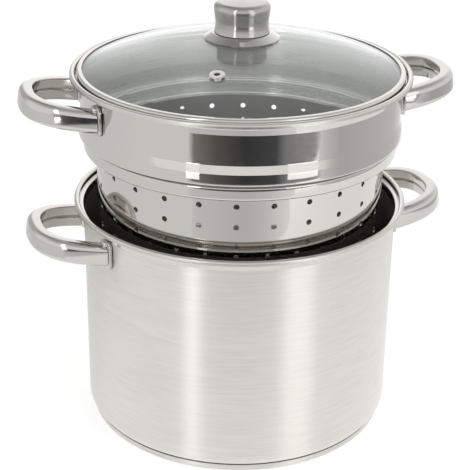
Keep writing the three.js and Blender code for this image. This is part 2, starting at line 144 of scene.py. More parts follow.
@dataclass(frozen=True)
class Finish:
    """A material and how its surface was made."""

    name: str
    slot: Slot | None
    colour: str
    roughness: float
    metallic: float = 1.0

    def material(self) -> bpy.types.Material:
        """Makes the material the first time that it is asked for.

        Returns:
            The material.
        """
        made = bpy.data.materials.get(self.name)
        if made:
            return made
        made = bpy.data.materials.new(self.name)
        made.use_nodes = True
        shader = made.node_tree.nodes["Principled BSDF"]
        shader.inputs["Base Color"].default_value = linear(self.colour)
        shader.inputs["Roughness"].default_value = self.roughness
        shader.inputs["Metallic"].default_value = self.metallic
        self.detail(made.node_tree, shader)
        return made

    def detail(self, tree: Tree, shader: Node) -> None:
        """Adds the surface's own pattern, and a plain finish has none."""

    def texture(
        self,
        tree: Tree,
        shader: Node,
        size: Sequence[float],
        octaves: float = 1.0,
        spread: float = 0.0,
        depth: float = 0.0,
    ) -> Socket:
        """Adds a noise pattern on the object's own coordinates to the roughness and the surface.

        Args:
            tree: Tree of the material.
            shader: The material's shader.
            size: Size of the pattern's features along X, Y and Z.
            octaves: Octaves of finer noise.
            spread: Most that the roughness rises or falls.
            depth: Depth of the pattern in the surface.

        Returns:
            Socket with values round one half.
        """
        place = add_node(tree, "ShaderNodeTexCoord", {})
        scale = [1 / (length * MM) for length in size]
        mapping = add_node(tree, "ShaderNodeMapping", {"Vector": place.outputs["Object"], "Scale": scale})
        inputs = {"Vector": mapping.outputs["Vector"], "Scale": 1.0, "Detail": octaves}
        noise = add_node(tree, "ShaderNodeTexNoise", inputs).outputs["Fac"]
        if spread:
            limits = {"From Min": NOISE_LOW, "From Max": NOISE_HIGH}
            limits |= {"To Min": self.roughness - spread, "To Max": self.roughness + spread}
            rough = add_node(tree, "ShaderNodeMapRange", {"Value": noise} | limits)
            tree.links.new(rough.outputs["Result"], shader.inputs["Roughness"])
        if depth:
            inputs = {"Height": noise, "Distance": depth * MM, "Strength": 1.0}
            bump = add_node(tree, "ShaderNodeBump", inputs)
            tree.links.new(bump.outputs["Normal"], shader.inputs["Normal"])
        return noise


@dataclass(frozen=True)
class BrushedSteel(Finish):
    """Stainless sheet brushed round the wall: light spreads up and down across the fine level lines."""

    line_spacing: float = 1.1  # real lines are finer, and these are as coarse as the render needs
    line_length: float = 70.0
    line_depth: float = 0.0035
    streak_spacing: float = 1.7
    streak_length: float = 26.0
    streak_shade: float = 0.055
    streak_low: float = 0.3
    streak_high: float = 0.6
    octaves: float = 3.0
    roughness_spread: float = 0.05
    anisotropy: float = 1.0
    highlight_turn: float = 0.25

    def detail(self, tree: Tree, shader: Node) -> None:
        """Adds the brush lines, stretches the highlights across them and darkens the streaks.

        Args:
            tree: Tree of the material.
            shader: The material's shader.
        """
        size = (self.line_length, self.line_length, self.line_spacing)
        self.texture(tree, shader, size, self.octaves, self.roughness_spread, self.line_depth)
        across = add_node(tree, "ShaderNodeTangent", {}, direction_type="RADIAL", axis="Z")
        tree.links.new(across.outputs["Tangent"], shader.inputs["Tangent"])
        shader.inputs["Anisotropic"].default_value = self.anisotropy
        shader.inputs["Anisotropic Rotation"].default_value = self.highlight_turn
        size = (self.streak_length, self.streak_length, self.streak_spacing)
        streaks = self.texture(tree, shader, size, self.octaves)
        limits = {"From Min": self.streak_low, "From Max": self.streak_high}
        limits |= {"To Min": 1 - self.streak_shade, "To Max": 1.0}
        shade = add_node(tree, "ShaderNodeMapRange", {"Value": streaks} | limits)
        inputs = {0: linear(self.colour)[:3], "Scale": shade.outputs["Result"]}
        colour = add_node(tree, "ShaderNodeVectorMath", inputs, operation="SCALE")
        tree.links.new(colour.outputs["Vector"], shader.inputs["Base Color"])


@dataclass(frozen=True)
class PolishedSteel(Finish):
    """Mirror-polished pressed sheet: sharp reflections that waver a little, with faint wipe marks."""

    wave_size: float = 38.0
    wave_depth: float = 0.012
    wipe_length: float = 9.0
    wipe_height: float = 3.0
    wipe_octaves: float = 4.0
    wipe_spread: float = 0.02

    def detail(self, tree: Tree, shader: Node) -> None:
        """Adds the wipe marks of the polishing and the waviness of the pressing.

        Args:
            tree: Tree of the material.
            shader: The material's shader.
        """
        size = (self.wipe_length, self.wipe_length, self.wipe_height)
        self.texture(tree, shader, size, self.wipe_octaves, spread=self.wipe_spread)
        self.texture(tree, shader, (self.wave_size,) * 3, depth=self.wave_depth)


@dataclass(frozen=True)
class TemperedGlass(Finish):
    """Clear tempered soda-lime glass: see-through, faintly green, with soft roller waves.

    Rays from lamps go straight through, so that what is under the glass is lit.
    """

    ior: float = 1.52
    wave_size: float = 60.0
    wave_depth: float = 0.02

    def detail(self, tree: Tree, shader: Node) -> None:
        """Makes the shader clear, adds the roller waves and lets lamps through.

        Args:
            tree: Tree of the material.
            shader: The material's shader.
        """
        rays = add_node(tree, "ShaderNodeLightPath", {})
        clear = add_node(tree, "ShaderNodeBsdfTransparent", {"Color": linear(self.colour)})
        inputs = {0: rays.outputs["Is Shadow Ray"], 1: shader.outputs["BSDF"], 2: clear.outputs["BSDF"]}
        glass = add_node(tree, "ShaderNodeMixShader", inputs)
        tree.links.new(glass.outputs["Shader"], tree.nodes["Material Output"].inputs["Surface"])
        shader.inputs["Transmission Weight"].default_value = 1.0
        shader.inputs["IOR"].default_value = self.ior
        self.texture(tree, shader, (self.wave_size,) * 3, depth=self.wave_depth)


@dataclass(frozen=True)
class Moulding(Finish):
    """Moulded or cast stock: matt, with a fine grain in its roughness and surface."""

    grain: float = 1.2
    grain_depth: float = 0.02
    octaves: float = 2.0
    roughness_spread: float = 0.08

    def detail(self, tree: Tree, shader: Node) -> None:
        """Adds the grain."""
        size = (self.grain,) * 3
        self.texture(tree, shader, size, self.octaves, self.roughness_spread, self.grain_depth)


WALL_STEEL = BrushedSteel("brushed_stainless_steel", Slot.BRUSHED, "efece7", 0.42)
MIRROR_STEEL = PolishedSteel("polished_stainless_steel", Slot.POLISHED, "cfccc8", 0.045)
LIP_STEEL = PolishedSteel("rolled_stainless_steel", Slot.POLISHED, "cfccc8", 0.32, wipe_spread=0.05)
# Dark steel for the groove under the insert's bead: painted shade in the recess.
UNPOLISHED_STEEL = PolishedSteel("unpolished_stainless_steel", Slot.POLISHED, "7d7a77", 0.3, wipe_spread=0.05)
# A trace of scattered light lifts the insides of the pot and of the basket from black.
BUFFED_STEEL = PolishedSteel("buffed_stainless_steel", Slot.POLISHED, "cfcecb", 0.2, 0.8, wipe_spread=0.04)
# Darker steel for the basket's inside: painted shade inside the basket.
PICKLED_STEEL = PolishedSteel("pickled_stainless_steel", Slot.POLISHED, "b2b0ad", 0.14, 0.8, wipe_spread=0.04)
# Satin steel for the collar's inside. Its colour is lighter than the outer steel's, as painted light on the
# inside.
INSIDE_STEEL = BrushedSteel("spun_satin_stainless_steel", Slot.POLISHED, "eae9e6", 0.3)
CAP_STEEL = BrushedSteel("brushed_base_steel", Slot.SATIN, "e6e4e0", 0.42)
# Dark strip on the base cap: partly brazing discolouration, partly painted shade of the crevice under the
# pot's corner.
BRAZE = PolishedSteel("heat_darkened_braze", Slot.SATIN, "605d5a", 0.4)
HANDLE_STEEL = PolishedSteel("tumbled_stainless_steel", Slot.POLISHED, "c8c6c2", 0.1, wipe_spread=0.05)
KNOB_STEEL = BrushedSteel("turned_stainless_steel", Slot.SATIN, "b4b2ae", 0.15, line_spacing=0.6)
SATIN_STEEL = PolishedSteel("satin_stainless_steel", Slot.SATIN, "c4c2bf", 0.16, wipe_spread=0.04)
CORE_ALUMINIUM = Moulding("rolled_aluminium", Slot.ALUMINIUM, "b9bbbd", 0.45)
LID_GLASS = TemperedGlass("tempered_glass", Slot.GLASS, "f5f9f7", 0.0, 0.0)
KNOB_RESIN = Moulding("moulded_phenolic_resin", Slot.RESIN, "232120", 0.5, 0.0)
SILICONE = Moulding("moulded_silicone", Slot.GASKET, "2b2b2c", 0.6, 0.0)


@dataclass(frozen=True)
class Corner:
    """Corner of an outline that is turned about the axis, with the radius that it is rounded to."""

    radius: float
    height: float
    rounding: float = 0.0

    @property
    def place(self) -> Vector:
        """Place in metres, on the plane through X and Z."""
        return Vector((self.radius, 0.0, self.height)) * MM

    def cut(self, before: "Corner", after: "Corner") -> float:
        """Finds how far, in metres, the rounding reaches along the lines to the corners beside it."""
        bend = (self.place - before.place).angle(after.place - self.place)
        return self.rounding * math.tan(bend / 2) * MM


def choose(piece: Piece) -> None:
    """Selects a piece alone and makes it the active one.

    Args:
        piece: Piece to work on.
    """
    bpy.ops.object.select_all(action="DESELECT")
    piece.select_set(True)
    bpy.context.view_layer.objects.active = piece


def edit_all(piece: Piece) -> None:
    """Opens a piece for editing by its points, with all of them selected.

    Args:
        piece: Piece to edit.
    """
    choose(piece)
    bpy.ops.object.mode_set(mode="EDIT")
    bpy.ops.mesh.select_mode(type="VERT")
    bpy.ops.mesh.select_all(action="SELECT")


def close() -> None:
    """Ends editing."""
    bpy.ops.object.mode_set(mode="OBJECT")


def edit_where(piece: Piece, chosen: PointTest) -> None:
    """Opens a piece for editing with the points selected that a test chooses.

    Args:
        piece: Piece to edit.
        chosen: Test of a point's place in metres.
    """
    edit_all(piece)
    bpy.ops.mesh.select_all(action="DESELECT")
    close()
    for point in piece.data.vertices:
        point.select = chosen(point.co)
    bpy.ops.object.mode_set(mode="EDIT")
    bpy.ops.mesh.select_mode(type="VERT")


def turn(angle: float, axis: str, centre: Sequence[float] = (0, 0, 0)) -> None:
    """Turns what is selected anticlockwise about an axis, and the operator itself counts clockwise."""
    bpy.ops.transform.rotate(value=-angle, orient_axis=axis, center_override=centre)


def named(name: str) -> Piece:
    """Gives the piece that was just added its name.

    Args:
        name: Name of the piece and of its mesh.

    Returns:
        The piece.
    """
    piece = bpy.context.object
    piece.name = name
    piece.data.name = name
    return piece


def new_plane(name: str) -> Piece:
    """Adds a unit plane at the origin and opens it for editing.

    Args:
        name: Name of the piece.

    Returns:
        The new piece.
    """
    bpy.ops.mesh.primitive_plane_add(size=1)
    piece = named(name)
    edit_all(piece)
    return piece


def new_line(name: str, points: Sequence[Vector]) -> Piece:
    """Draws a line from point to point and leaves it open for editing.

    Args:
        name: Name of the piece.
        points: Places in metres.

    Returns:
        The new piece.
    """
    piece = new_plane(name)
    bpy.ops.mesh.merge(type="CENTER")
    bpy.ops.transform.translate(value=points[0])
    for before, after in zip(points, points[1:]):
        bpy.ops.mesh.extrude_vertices_move(TRANSFORM_OT_translate={"value": after - before})
    return piece


def tidy(piece: Piece) -> None:
    """Merges doubles and points all faces outwards.

    Args:
        piece: Piece to tidy.
    """
    edit_all(piece)
    bpy.ops.mesh.remove_doubles(threshold=SAME_PLACE)
    bpy.ops.mesh.normals_make_consistent(inside=False)
    close()


def apply_modifier(piece: Piece, kind: str, **settings: Any) -> None:
    """Adds a modifier to a piece and applies it.

    Args:
        piece: Piece to change.
        kind: Type name of the modifier.
        settings: Properties of the modifier.
    """
    choose(piece)
    bpy.ops.object.modifier_add(type=kind)
    modifier = piece.modifiers[-1]
    for name, value in settings.items():
        setattr(modifier, name, value)
    bpy.ops.object.modifier_apply(modifier=modifier.name)


def combine(piece: Piece, tool: Piece, operation: str) -> None:
    """Cuts a closed shape out of a piece or joins it on, and removes the shape."""
    apply_modifier(piece, "BOOLEAN", object=tool, operation=operation, solver="EXACT")
    bpy.data.objects.remove(tool)


def thicken(piece: Piece, sheet: float) -> None:
    """Gives a surface the thickness of a sheet, half on either side."""
    apply_modifier(piece, "SOLIDIFY", thickness=sheet * MM, offset=0.0, use_even_offset=True)


def smooth(piece: Piece) -> None:
    """Shades a piece smooth, with its sharp edges kept."""
    choose(piece)
    bpy.ops.object.shade_smooth_by_angle(angle=SMOOTH_ANGLE)


def spun(
    name: str, corners: Sequence[Corner], sheet: float = 0.0, steps: int = ROUND_STEPS, ring: bool = False
) -> Piece:
    """Draws an outline corner by corner, rounds its corners and spins it about the axis.

    Args:
        name: Name of the piece.
        corners: Corners of a bent sheet's centre line or of a solid's outline, in order.
        sheet: Thickness of the sheet, or 0 for a solid.
        steps: Steps of the spin.
        ring: Whether the outline closes on itself.

    Returns:
        The piece, shaded smooth.
    """
    piece = new_line(name, [corner.place for corner in corners])
    close()
    if ring:
        ends = corners[0].place, corners[-1].place
        edit_where(piece, lambda place: min((place - end).length for end in ends) < SAME_PLACE)
        bpy.ops.mesh.edge_face_add()
        close()
    for before, corner, after in zip(corners, corners[1:], corners[2:]):
        if corner.rounding > 0:
            edit_where(piece, lambda place: (place - corner.place).length < SAME_PLACE)
            cut = corner.cut(before, after)
            bpy.ops.mesh.bevel(offset=cut, segments=ARC_PIECES, affect="VERTICES")
            close()
    edit_all(piece)
    bpy.ops.mesh.spin(steps=steps, angle=FULL_TURN, center=(0, 0, 0), axis=(0, 0, 1))
    close()
    tidy(piece)
    if sheet:
        thicken(piece, sheet)
    smooth(piece)
    return piece


def faces_up(face: Face) -> bool:
    """Tells whether a face looks up by more than a steep slope does."""
    return face.normal.z > STEEP


def faces_inside(face: Face) -> bool:
    """Tells whether a face of a cup looks up or towards the axis."""
    return faces_up(face) or face.normal.xy.dot(face.center.xy) < -SAME_PLACE


def paint(piece: Piece, main: Finish, *others: tuple[Finish, FaceTest]) -> None:
    """Gives a piece its main finish and some of its faces other ones.

    Args:
        piece: Piece to dress.
        main: Its main finish.
        others: Other finishes, each with the test of the faces that get it. A later one wins.
    """
    piece.data.materials.append(main.material())
    for place, (finish, chosen) in enumerate(others, start=1):
        piece.data.materials.append(finish.material())
        for face in piece.data.polygons:
            if chosen(face):
                face.material_index = place


def hand_over(piece: Piece, body: Body, finish: Finish) -> None:
    """Dresses a piece, lets it ride on its body and lets it stand for the CAD node of its name.

    Args:
        piece: Finished piece, named for its node with "_look" added.
        body: Body that it moves with.
        finish: Its main finish.
    """
    if not piece.data.materials:
        piece.data.materials.append(finish.material())
    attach(piece, body.value)
    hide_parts(piece.name.removesuffix("_look"))
    LOG.info("%s: %d faces on %s", piece.name, len(piece.data.polygons), body.value)


@dataclass(frozen=True)
class Rim:
    """Flared rim that the pot and the insert share, with a ledge for what sits in it and a rolled lip."""

    flare_depth: float = 11.0
    flare_share: float = 1 / 3
    flare_rounding: float = 1.6
    ledge_depth: float = 5.0
    ledge_width: float = 3.4
    ledge_start: float = 1.0
    lip_overhang: float = 7.5
    lip_roll: float = 1.6
    lip_turn: float = 3.6
    crease: float = 0.7

    def corners(self, wall: float, crest: float, sheet: float) -> list[Corner]:
        """Lists the corners from the top of a straight wall to the lip's edge.

        Args:
            wall: Radius of the wall's centre line.
            crest: Height of the lip's crest.
            sheet: Thickness of the sheet.

        Returns:
            Corners on the sheet's centre line.
        """
        top = crest - sheet / 2
        ledge = crest - self.ledge_depth
        lip = wall + self.lip_overhang
        flare = wall + self.ledge_start * self.flare_share
        return [
            Corner(wall, crest - self.flare_depth, self.flare_depth),
            Corner(flare, ledge - self.flare_rounding, self.flare_rounding),
            Corner(wall + self.ledge_start, ledge, self.crease),
            Corner(wall + self.ledge_width, ledge, self.crease),
            Corner(lip - 2 * self.lip_roll, top, self.lip_roll),
            Corner(lip, top, self.lip_roll),
            Corner(lip, crest - self.lip_turn),
        ]

    def lip_test(self, wall: float) -> FaceTest:
        """Makes the test that tells the outer roll of the lip from all else on a wall."""
        roll = (wall + self.lip_overhang - self.lip_roll) * MM
        return lambda face: face.center.xy.length > roll


@dataclass(frozen=True)
class Steel:
    """Sizes that all the steel pieces share."""

    wall_radius: float = 130.0
    sheet: float = 0.8
    fit_gap: float = 0.3
    seat_clearance: float = 0.7
    rim: Rim = Rim()

    @property
    def wall(self) -> float:
        """Radius of the wall's centre line."""
        return self.wall_radius - self.sheet / 2

    @property
    def seat(self) -> float:
        """Outside radius of what sits inside a rim."""
        return self.wall + self.rim.ledge_width - self.sheet / 2 - self.seat_clearance

    def on_ledge(self, crest: float) -> float:
        """Height at which a piece rests on the ledge of a rim."""
        return crest - self.rim.ledge_depth + self.sheet / 2 + self.fit_gap


@dataclass
class Handles:
    """Hollow loop handles with their weld brackets, for the pot or for the insert."""

    body: Body
    crest: float
    degrees: float = 0.0
    span: float = 84.0
    reach: float = 44.0
    drop: float = 22.0
    squareness: float = 2.55
    rise: float = 9.0
    height: float = 18.0
    width: float = 10.5
    outer_rounding: float = 5.1
    crease: float = 1.1
    seam_width: float = 2.6
    seam_depth: float = 1.6
    seam_cuts: int = 3
    root: float = 9.0
    steps: int = 44
    plate_width: float = 14.0
    plate_height: float = 24.0
    plate_sheet: float = 2.4
    plate_corner: float = 5.0
    plate_edge: float = 0.7
    plate_edge_pieces: int = 3
    boss_radius: float = 3.2
    boss_drop: float = 3.4
    boss_flatness: float = 0.75
    boss_rings: int = 12
    steel: Steel = Steel()

    @property
    def level(self) -> float:
        """Height of the legs' centre line."""
        return self.crest - self.drop

    @property
    def plate_angle(self) -> float:
        """Angle from the handle's middle to its bracket, about the axis."""
        return math.asin(self.span / 2 / (self.steel.wall_radius + self.plate_sheet / 2))

    @property
    def plate_face(self) -> float:
        """Radius of the bracket's outer face."""
        return self.steel.wall_radius + self.steel.fit_gap + self.plate_sheet

    def loop_point(self, share: float) -> Vector:
        """Finds a point of the loop's centre line, level and on the right-hand side.

        Args:
            share: 0 at the front root, 1 at the back root.

        Returns:
            Place in metres.
        """
        angle = (share - 0.5) * math.pi
        power = 2 / self.squareness
        out = (self.reach + self.root) * max(math.cos(angle), 0.0) ** power
        along = math.copysign(abs(math.sin(angle)) ** power, angle) * self.span / 2
        return Vector((self.steel.wall_radius - self.root + out, along, 0.0)) * MM

    def section(self) -> Piece:
        """Draws the handle's section, with its rounded outer corners and the seam on its inner side.

        Returns:
            Upright section at the origin.
        """
        piece = new_plane("handle_pattern")
        turn(math.pi / 2, "Y")
        bpy.ops.transform.resize(value=(1, self.width * MM, self.height * MM))
        close()
        inner = self.width / 2 * MM
        for edge, rounding in ((-inner, self.outer_rounding), (inner, self.crease)):
            edit_where(piece, lambda place: abs(place.y - edge) < SAME_PLACE)
            bpy.ops.mesh.bevel(offset=rounding * MM, segments=ARC_PIECES, affect="VERTICES")
            close()
        edit_where(piece, lambda place: abs(place.y - inner) < SAME_PLACE)
        bpy.ops.mesh.subdivide(number_cuts=self.seam_cuts)
        close()
        step = (self.height - 2 * self.crease) / (self.seam_cuts + 1)
        reach = step * MM + SAME_PLACE
        edit_where(piece, lambda place: abs(place.y - inner) < SAME_PLACE and abs(place.z) < reach)
        bpy.ops.transform.resize(value=(1, 1, self.seam_width / 2 / step), center_override=(0, inner, 0))
        close()
        edit_where(piece, lambda place: abs(place.y - inner) < SAME_PLACE and abs(place.z) < SAME_PLACE)
        bpy.ops.transform.translate(value=(0, -self.seam_depth * MM, 0))
        close()
        return piece

    def loop(self) -> Piece:
        """Extrudes the section along the loop, tilts it up and trims its legs to the brackets.

        Returns:
            Right-hand handle at its height.
        """
        piece = self.section()
        edit_all(piece)
        points = [self.loop_point(i / self.steps) for i in range(self.steps + 1)]
        bpy.ops.transform.translate(value=points[0])
        heading = 0.0
        for i, (before, after) in enumerate(zip(points, points[1:]), start=1):
            bpy.ops.mesh.extrude_region_move(TRANSFORM_OT_translate={"value": after - before})
            ahead = points[min(i + 1, self.steps)] - before
            aim = math.atan2(ahead.y, ahead.x) if i < self.steps else math.pi
            turn(aim - heading, "Z", after)
            heading = aim
        bpy.ops.mesh.select_all(action="SELECT")
        bpy.ops.mesh.normals_make_consistent(inside=False)
        turn(-math.radians(self.rise), "Y", (self.steel.wall_radius * MM, 0, 0))
        bpy.ops.transform.translate(value=(0, 0, self.level * MM))
        close()
        for side in (-1, 1):
            edit_where(piece, lambda place: place.y * side > 0)
            facing = Vector((math.cos(self.plate_angle), side * math.sin(self.plate_angle), 0))
            cut = facing * (self.plate_face + self.steel.fit_gap) * MM
            bpy.ops.mesh.bisect(plane_co=cut, plane_no=facing, use_fill=True, clear_inner=True)
            close()
        smooth(piece)
        return piece

    def bracket(self) -> Piece:
        """Shapes a bracket: a round-ended plate with soft edges and a weld boss at its top.

        Returns:
            Bracket on the axis X, at its radius and height.
        """
        piece = new_plane("bracket_pattern")
        turn(math.pi / 2, "Y")
        bpy.ops.transform.resize(value=(1, self.plate_width * MM, self.plate_height * MM))
        bpy.ops.mesh.bevel(offset=self.plate_corner * MM, segments=ARC_PIECES, affect="VERTICES")
        bpy.ops.transform.translate(value=((self.plate_face - self.plate_sheet) * MM, 0, self.level * MM))
        bpy.ops.mesh.extrude_region_move(TRANSFORM_OT_translate={"value": (self.plate_sheet * MM, 0, 0)})
        close()
        tidy(piece)
        edit_where(piece, lambda place: place.x > self.plate_face * MM - SAME_PLACE)
        bpy.ops.mesh.bevel(offset=self.plate_edge * MM, segments=self.plate_edge_pieces, affect="EDGES")
        close()
        combine(piece, self.boss(), "UNION")
        smooth(piece)
        return piece

    def boss(self) -> Piece:
        """Shapes the weld boss at the top of a bracket.

        Returns:
            Low dome that stands in the plate.
        """
        sides = 2 * self.boss_rings
        radius = self.boss_radius * MM
        bpy.ops.mesh.primitive_uv_sphere_add(segments=sides, ring_count=self.boss_rings, radius=radius)
        boss = named("boss_pattern")
        edit_all(boss)
        bpy.ops.transform.resize(value=(self.boss_flatness, 1, 1))
        height = self.level + self.plate_height / 2 - self.boss_drop
        bpy.ops.transform.translate(value=(self.plate_face * MM, 0, height * MM))
        close()
        return boss

    def build(self) -> None:
        """Makes both handles and their four brackets."""
        loop = self.loop()
        bracket = self.bracket()
        owner = self.body.value
        for side in Side:
            heading = side.value + math.radians(self.degrees)
            self.place(loop, f"{owner}_handle_{side.name.lower()}", heading, HANDLE_STEEL)
            front = -1 if side is Side.RIGHT else 1
            for end, sign in (("front", front), ("back", -front)):
                name = f"{owner}_bracket_{side.name.lower()}_{end}"
                self.place(bracket, name, heading + sign * self.plate_angle, SATIN_STEEL)
        for pattern in (loop, bracket):
            bpy.data.objects.remove(pattern)

    def place(self, pattern: Piece, node: str, heading: float, finish: Finish) -> None:
        """Copies a pattern, with a mesh of its own, to its place round the axis and hands it over.

        Args:
            pattern: Piece on the axis X.
            node: CAD node that the copy stands for.
            heading: Angle about the axis.
            finish: Finish of the copy.
        """
        choose(pattern)
        bpy.ops.object.duplicate(linked=False)
        piece = named(f"{node}_look")
        edit_all(piece)
        turn(heading, "Z")
        close()
        hand_over(piece, self.body, finish)


@dataclass
class Pot:
    """Stockpot with a brushed wall, a polished rim and a capsule base."""

    height: float = 194.0
    floor: float = 6.2
    corner: float = 9.0
    polish_depth: float = 10.5
    cap_inset: float = 3.5
    cap_sheet: float = 0.6
    cap_corner: float = 3.5
    # Height of the dark strip: brazing discolouration together with painted crevice shade.
    braze_height: float = 0.9
    steel: Steel = Steel()

    def build(self) -> None:
        """Makes the pot's pieces."""
        self.build_body()
        self.build_cap()
        Handles(Body.POT, self.height).build()

    def build_body(self) -> None:
        """Spins the pot, brushed up to the flare, polished above it and buffed inside."""
        steel = self.steel
        floor = self.floor + steel.sheet / 2
        corners = [Corner(0, floor), Corner(steel.wall, floor, self.corner - steel.sheet / 2)]
        corners += steel.rim.corners(steel.wall, self.height, steel.sheet)
        piece = spun("pot_body_look", corners, steel.sheet)
        flare = (self.height - self.polish_depth) * MM
        inside = (BUFFED_STEEL, faces_inside)
        polished = (MIRROR_STEEL, lambda face: face.center.z > flare)
        paint(piece, WALL_STEEL, inside, polished, (LIP_STEEL, steel.rim.lip_test(steel.wall)))
        hand_over(piece, Body.POT, WALL_STEEL)

    def build_cap(self) -> None:
        """Spins the shallow dish under the base, with a dark strip below the pot's rounded corner: partly
        brazing discolouration, partly painted shade of the crevice.
        """
        line = self.steel.wall_radius - self.cap_inset - self.cap_sheet / 2
        run = self.corner - self.cap_inset
        edge = self.floor + self.corner - math.sqrt(self.corner**2 - run**2) - self.steel.fit_gap
        low = self.cap_sheet / 2
        braze = edge - self.braze_height
        corners = [Corner(0, low), Corner(line, low, self.cap_corner)]
        corners += [Corner(line, braze), Corner(line, edge)]
        piece = spun("pot_base_cap_look", corners, self.cap_sheet)
        # Faces above the strip's lower edge are painted dark: brazing discolouration together with painted
        # shade of the crevice.
        paint(piece, CAP_STEEL, (BRAZE, lambda face: face.center.z > braze * MM))
        hand_over(piece, Body.POT, CAP_STEEL)


@dataclass
class Insert:
    """Mirror-polished stepped collar with a perforated basket hung in it."""

    pot_height: float = 194.0
    lift: float = 62.0
    turn_degrees: float = -4.0
    collar_height: float = 50.5
    bead_height: float = 9.2
    bead_lean: float = 0.7
    bead_corner: float = 0.9
    bead_edge: float = 0.7
    shoulder_height: float = 6.8
    shoulder_rounding: float = 3.0
    groove_height: float = 3.4
    groove_depth: float = 1.4
    groove_rounding: float = 0.7
    plug_depth: float = 13.0
    plug_clearance: float = 1.2
    plug_corner: float = 1.6
    basket_inset: float = 12.0
    basket_depth: float = 126.0
    basket_corner: float = 9.0
    flange: float = 4.5
    shelf_clearance: float = 0.9
    hole: float = 4.6
    hole_columns: int = 26
    hole_rows: int = 7
    row_pitch: float = 16.7
    first_row: float = 8.4
    column_turn: float = 1.0
    tile_columns: int = 16
    tile_rows: int = 8
    tile_hole: int = 2
    floor_rings: int = 2
    floor_ring_pitch: float = 42.0
    floor_ring_holes: int = 6
    floor_hole_sides: int = 24
    floor_margin: float = 2.0
    steel: Steel = Steel()

    @property
    def seat(self) -> float:
        """Height of the bead's underside as the insert stands."""
        return self.steel.on_ledge(self.pot_height) + self.lift

    @property
    def crest(self) -> float:
        """Height of the lip's crest."""
        return self.seat + self.collar_height

    @property
    def basket(self) -> float:
        """Radius of the basket's centre line."""
        return self.steel.wall_radius - self.basket_inset - self.steel.sheet / 2

    @property
    def plug_bottom(self) -> float:
        """Height of the plug's lower edge."""
        return self.seat - self.plug_depth

    def build(self) -> None:
        """Makes the insert's pieces."""
        self.build_collar()
        self.build_basket()
        Handles(Body.INSERT, self.crest, self.turn_degrees).build()

    def build_collar(self) -> None:
        """Spins the collar: shelf, plug, groove, bead, shoulder, wall and rim."""
        steel = self.steel
        half = steel.sheet / 2
        shelf = self.plug_bottom + half
        plug = steel.wall_radius - steel.sheet - self.plug_clearance - half
        groove = plug - self.groove_depth
        bead = steel.seat - half
        bead_floor = self.seat + half
        bead_top = self.seat + self.bead_height
        groove_foot = bead_floor - self.groove_height
        corners = [
            Corner(self.basket + half + self.shelf_clearance, shelf),
            Corner(plug, shelf, self.plug_corner),
            Corner(plug, groove_foot, self.plug_corner),
            Corner(groove, groove_foot + self.groove_depth, self.groove_rounding),
            Corner(groove, bead_floor, self.groove_rounding),
            Corner(bead, bead_floor, self.bead_corner),
            Corner(bead - self.bead_lean, bead_top, self.bead_edge),
            Corner(steel.wall, bead_top + self.shoulder_height, self.shoulder_rounding),
        ]
        corners += steel.rim.corners(steel.wall, self.crest, steel.sheet)
        piece = spun("insert_collar_look", corners, steel.sheet)
        flare = (self.crest - steel.rim.flare_depth) * MM
        # The groove's faces, between its foot and the bead's floor, are painted dark as shade under the bead.
        grooved = (UNPOLISHED_STEEL, lambda face: groove_foot * MM < face.center.z < bead_floor * MM)
        # Inside faces below the flare get the satin steel, whose lighter colour is painted light.
        inside = (INSIDE_STEEL, lambda face: faces_inside(face) and face.center.z < flare)
        lip = (LIP_STEEL, steel.rim.lip_test(steel.wall))
        paint(piece, MIRROR_STEEL, grooved, inside, (MIRROR_STEEL, faces_up), lip)
        hand_over(piece, Body.INSERT, MIRROR_STEEL)

    def build_basket(self) -> None:
        """Bends a pierced strip into a ring, and adds its flange, rounded corner and pierced floor."""
        piece = self.pierced_ring()
        self.add_flange(piece)
        self.add_floor(piece)
        thicken(piece, self.steel.sheet)
        self.pierce_floor(piece)
        smooth(piece)
        # The basket's inside faces get the darker steel as painted shade.
        paint(piece, MIRROR_STEEL, (PICKLED_STEEL, faces_inside))
        hand_over(piece, Body.INSERT, MIRROR_STEEL)

    def pierced_tile(self, width: float) -> Piece:
        """Makes one upright tile of a grid whose middle cells give way to a round hole.

        Args:
            width: Width of the tile.

        Returns:
            The tile at the origin.
        """
        columns = self.tile_columns
        rows = self.tile_rows
        bpy.ops.mesh.primitive_grid_add(x_subdivisions=columns, y_subdivisions=rows, size=1)
        piece = named("insert_basket_look")
        edit_all(piece)
        bpy.ops.transform.resize(value=(columns, rows, 1))
        close()
        edit_where(piece, lambda place: round(max(abs(place.x), abs(place.y))) < self.tile_hole)
        bpy.ops.mesh.delete(type="VERT")
        close()
        edit_where(piece, lambda place: round(max(abs(place.x), abs(place.y))) == self.tile_hole)
        bpy.ops.transform.tosphere(value=1.0)
        piece.update_from_editmode()
        shrink = self.hole / 2 * MM / min(point.co.xy.length for point in piece.data.vertices)
        cell = Vector((width / columns, self.row_pitch / rows, 1 / MM)) * MM
        bpy.ops.transform.resize(value=(shrink / cell.x, shrink / cell.y, 1))
        bpy.ops.mesh.select_all(action="SELECT")
        bpy.ops.transform.resize(value=cell)
        turn(math.pi / 2, "X")
        close()
        return piece

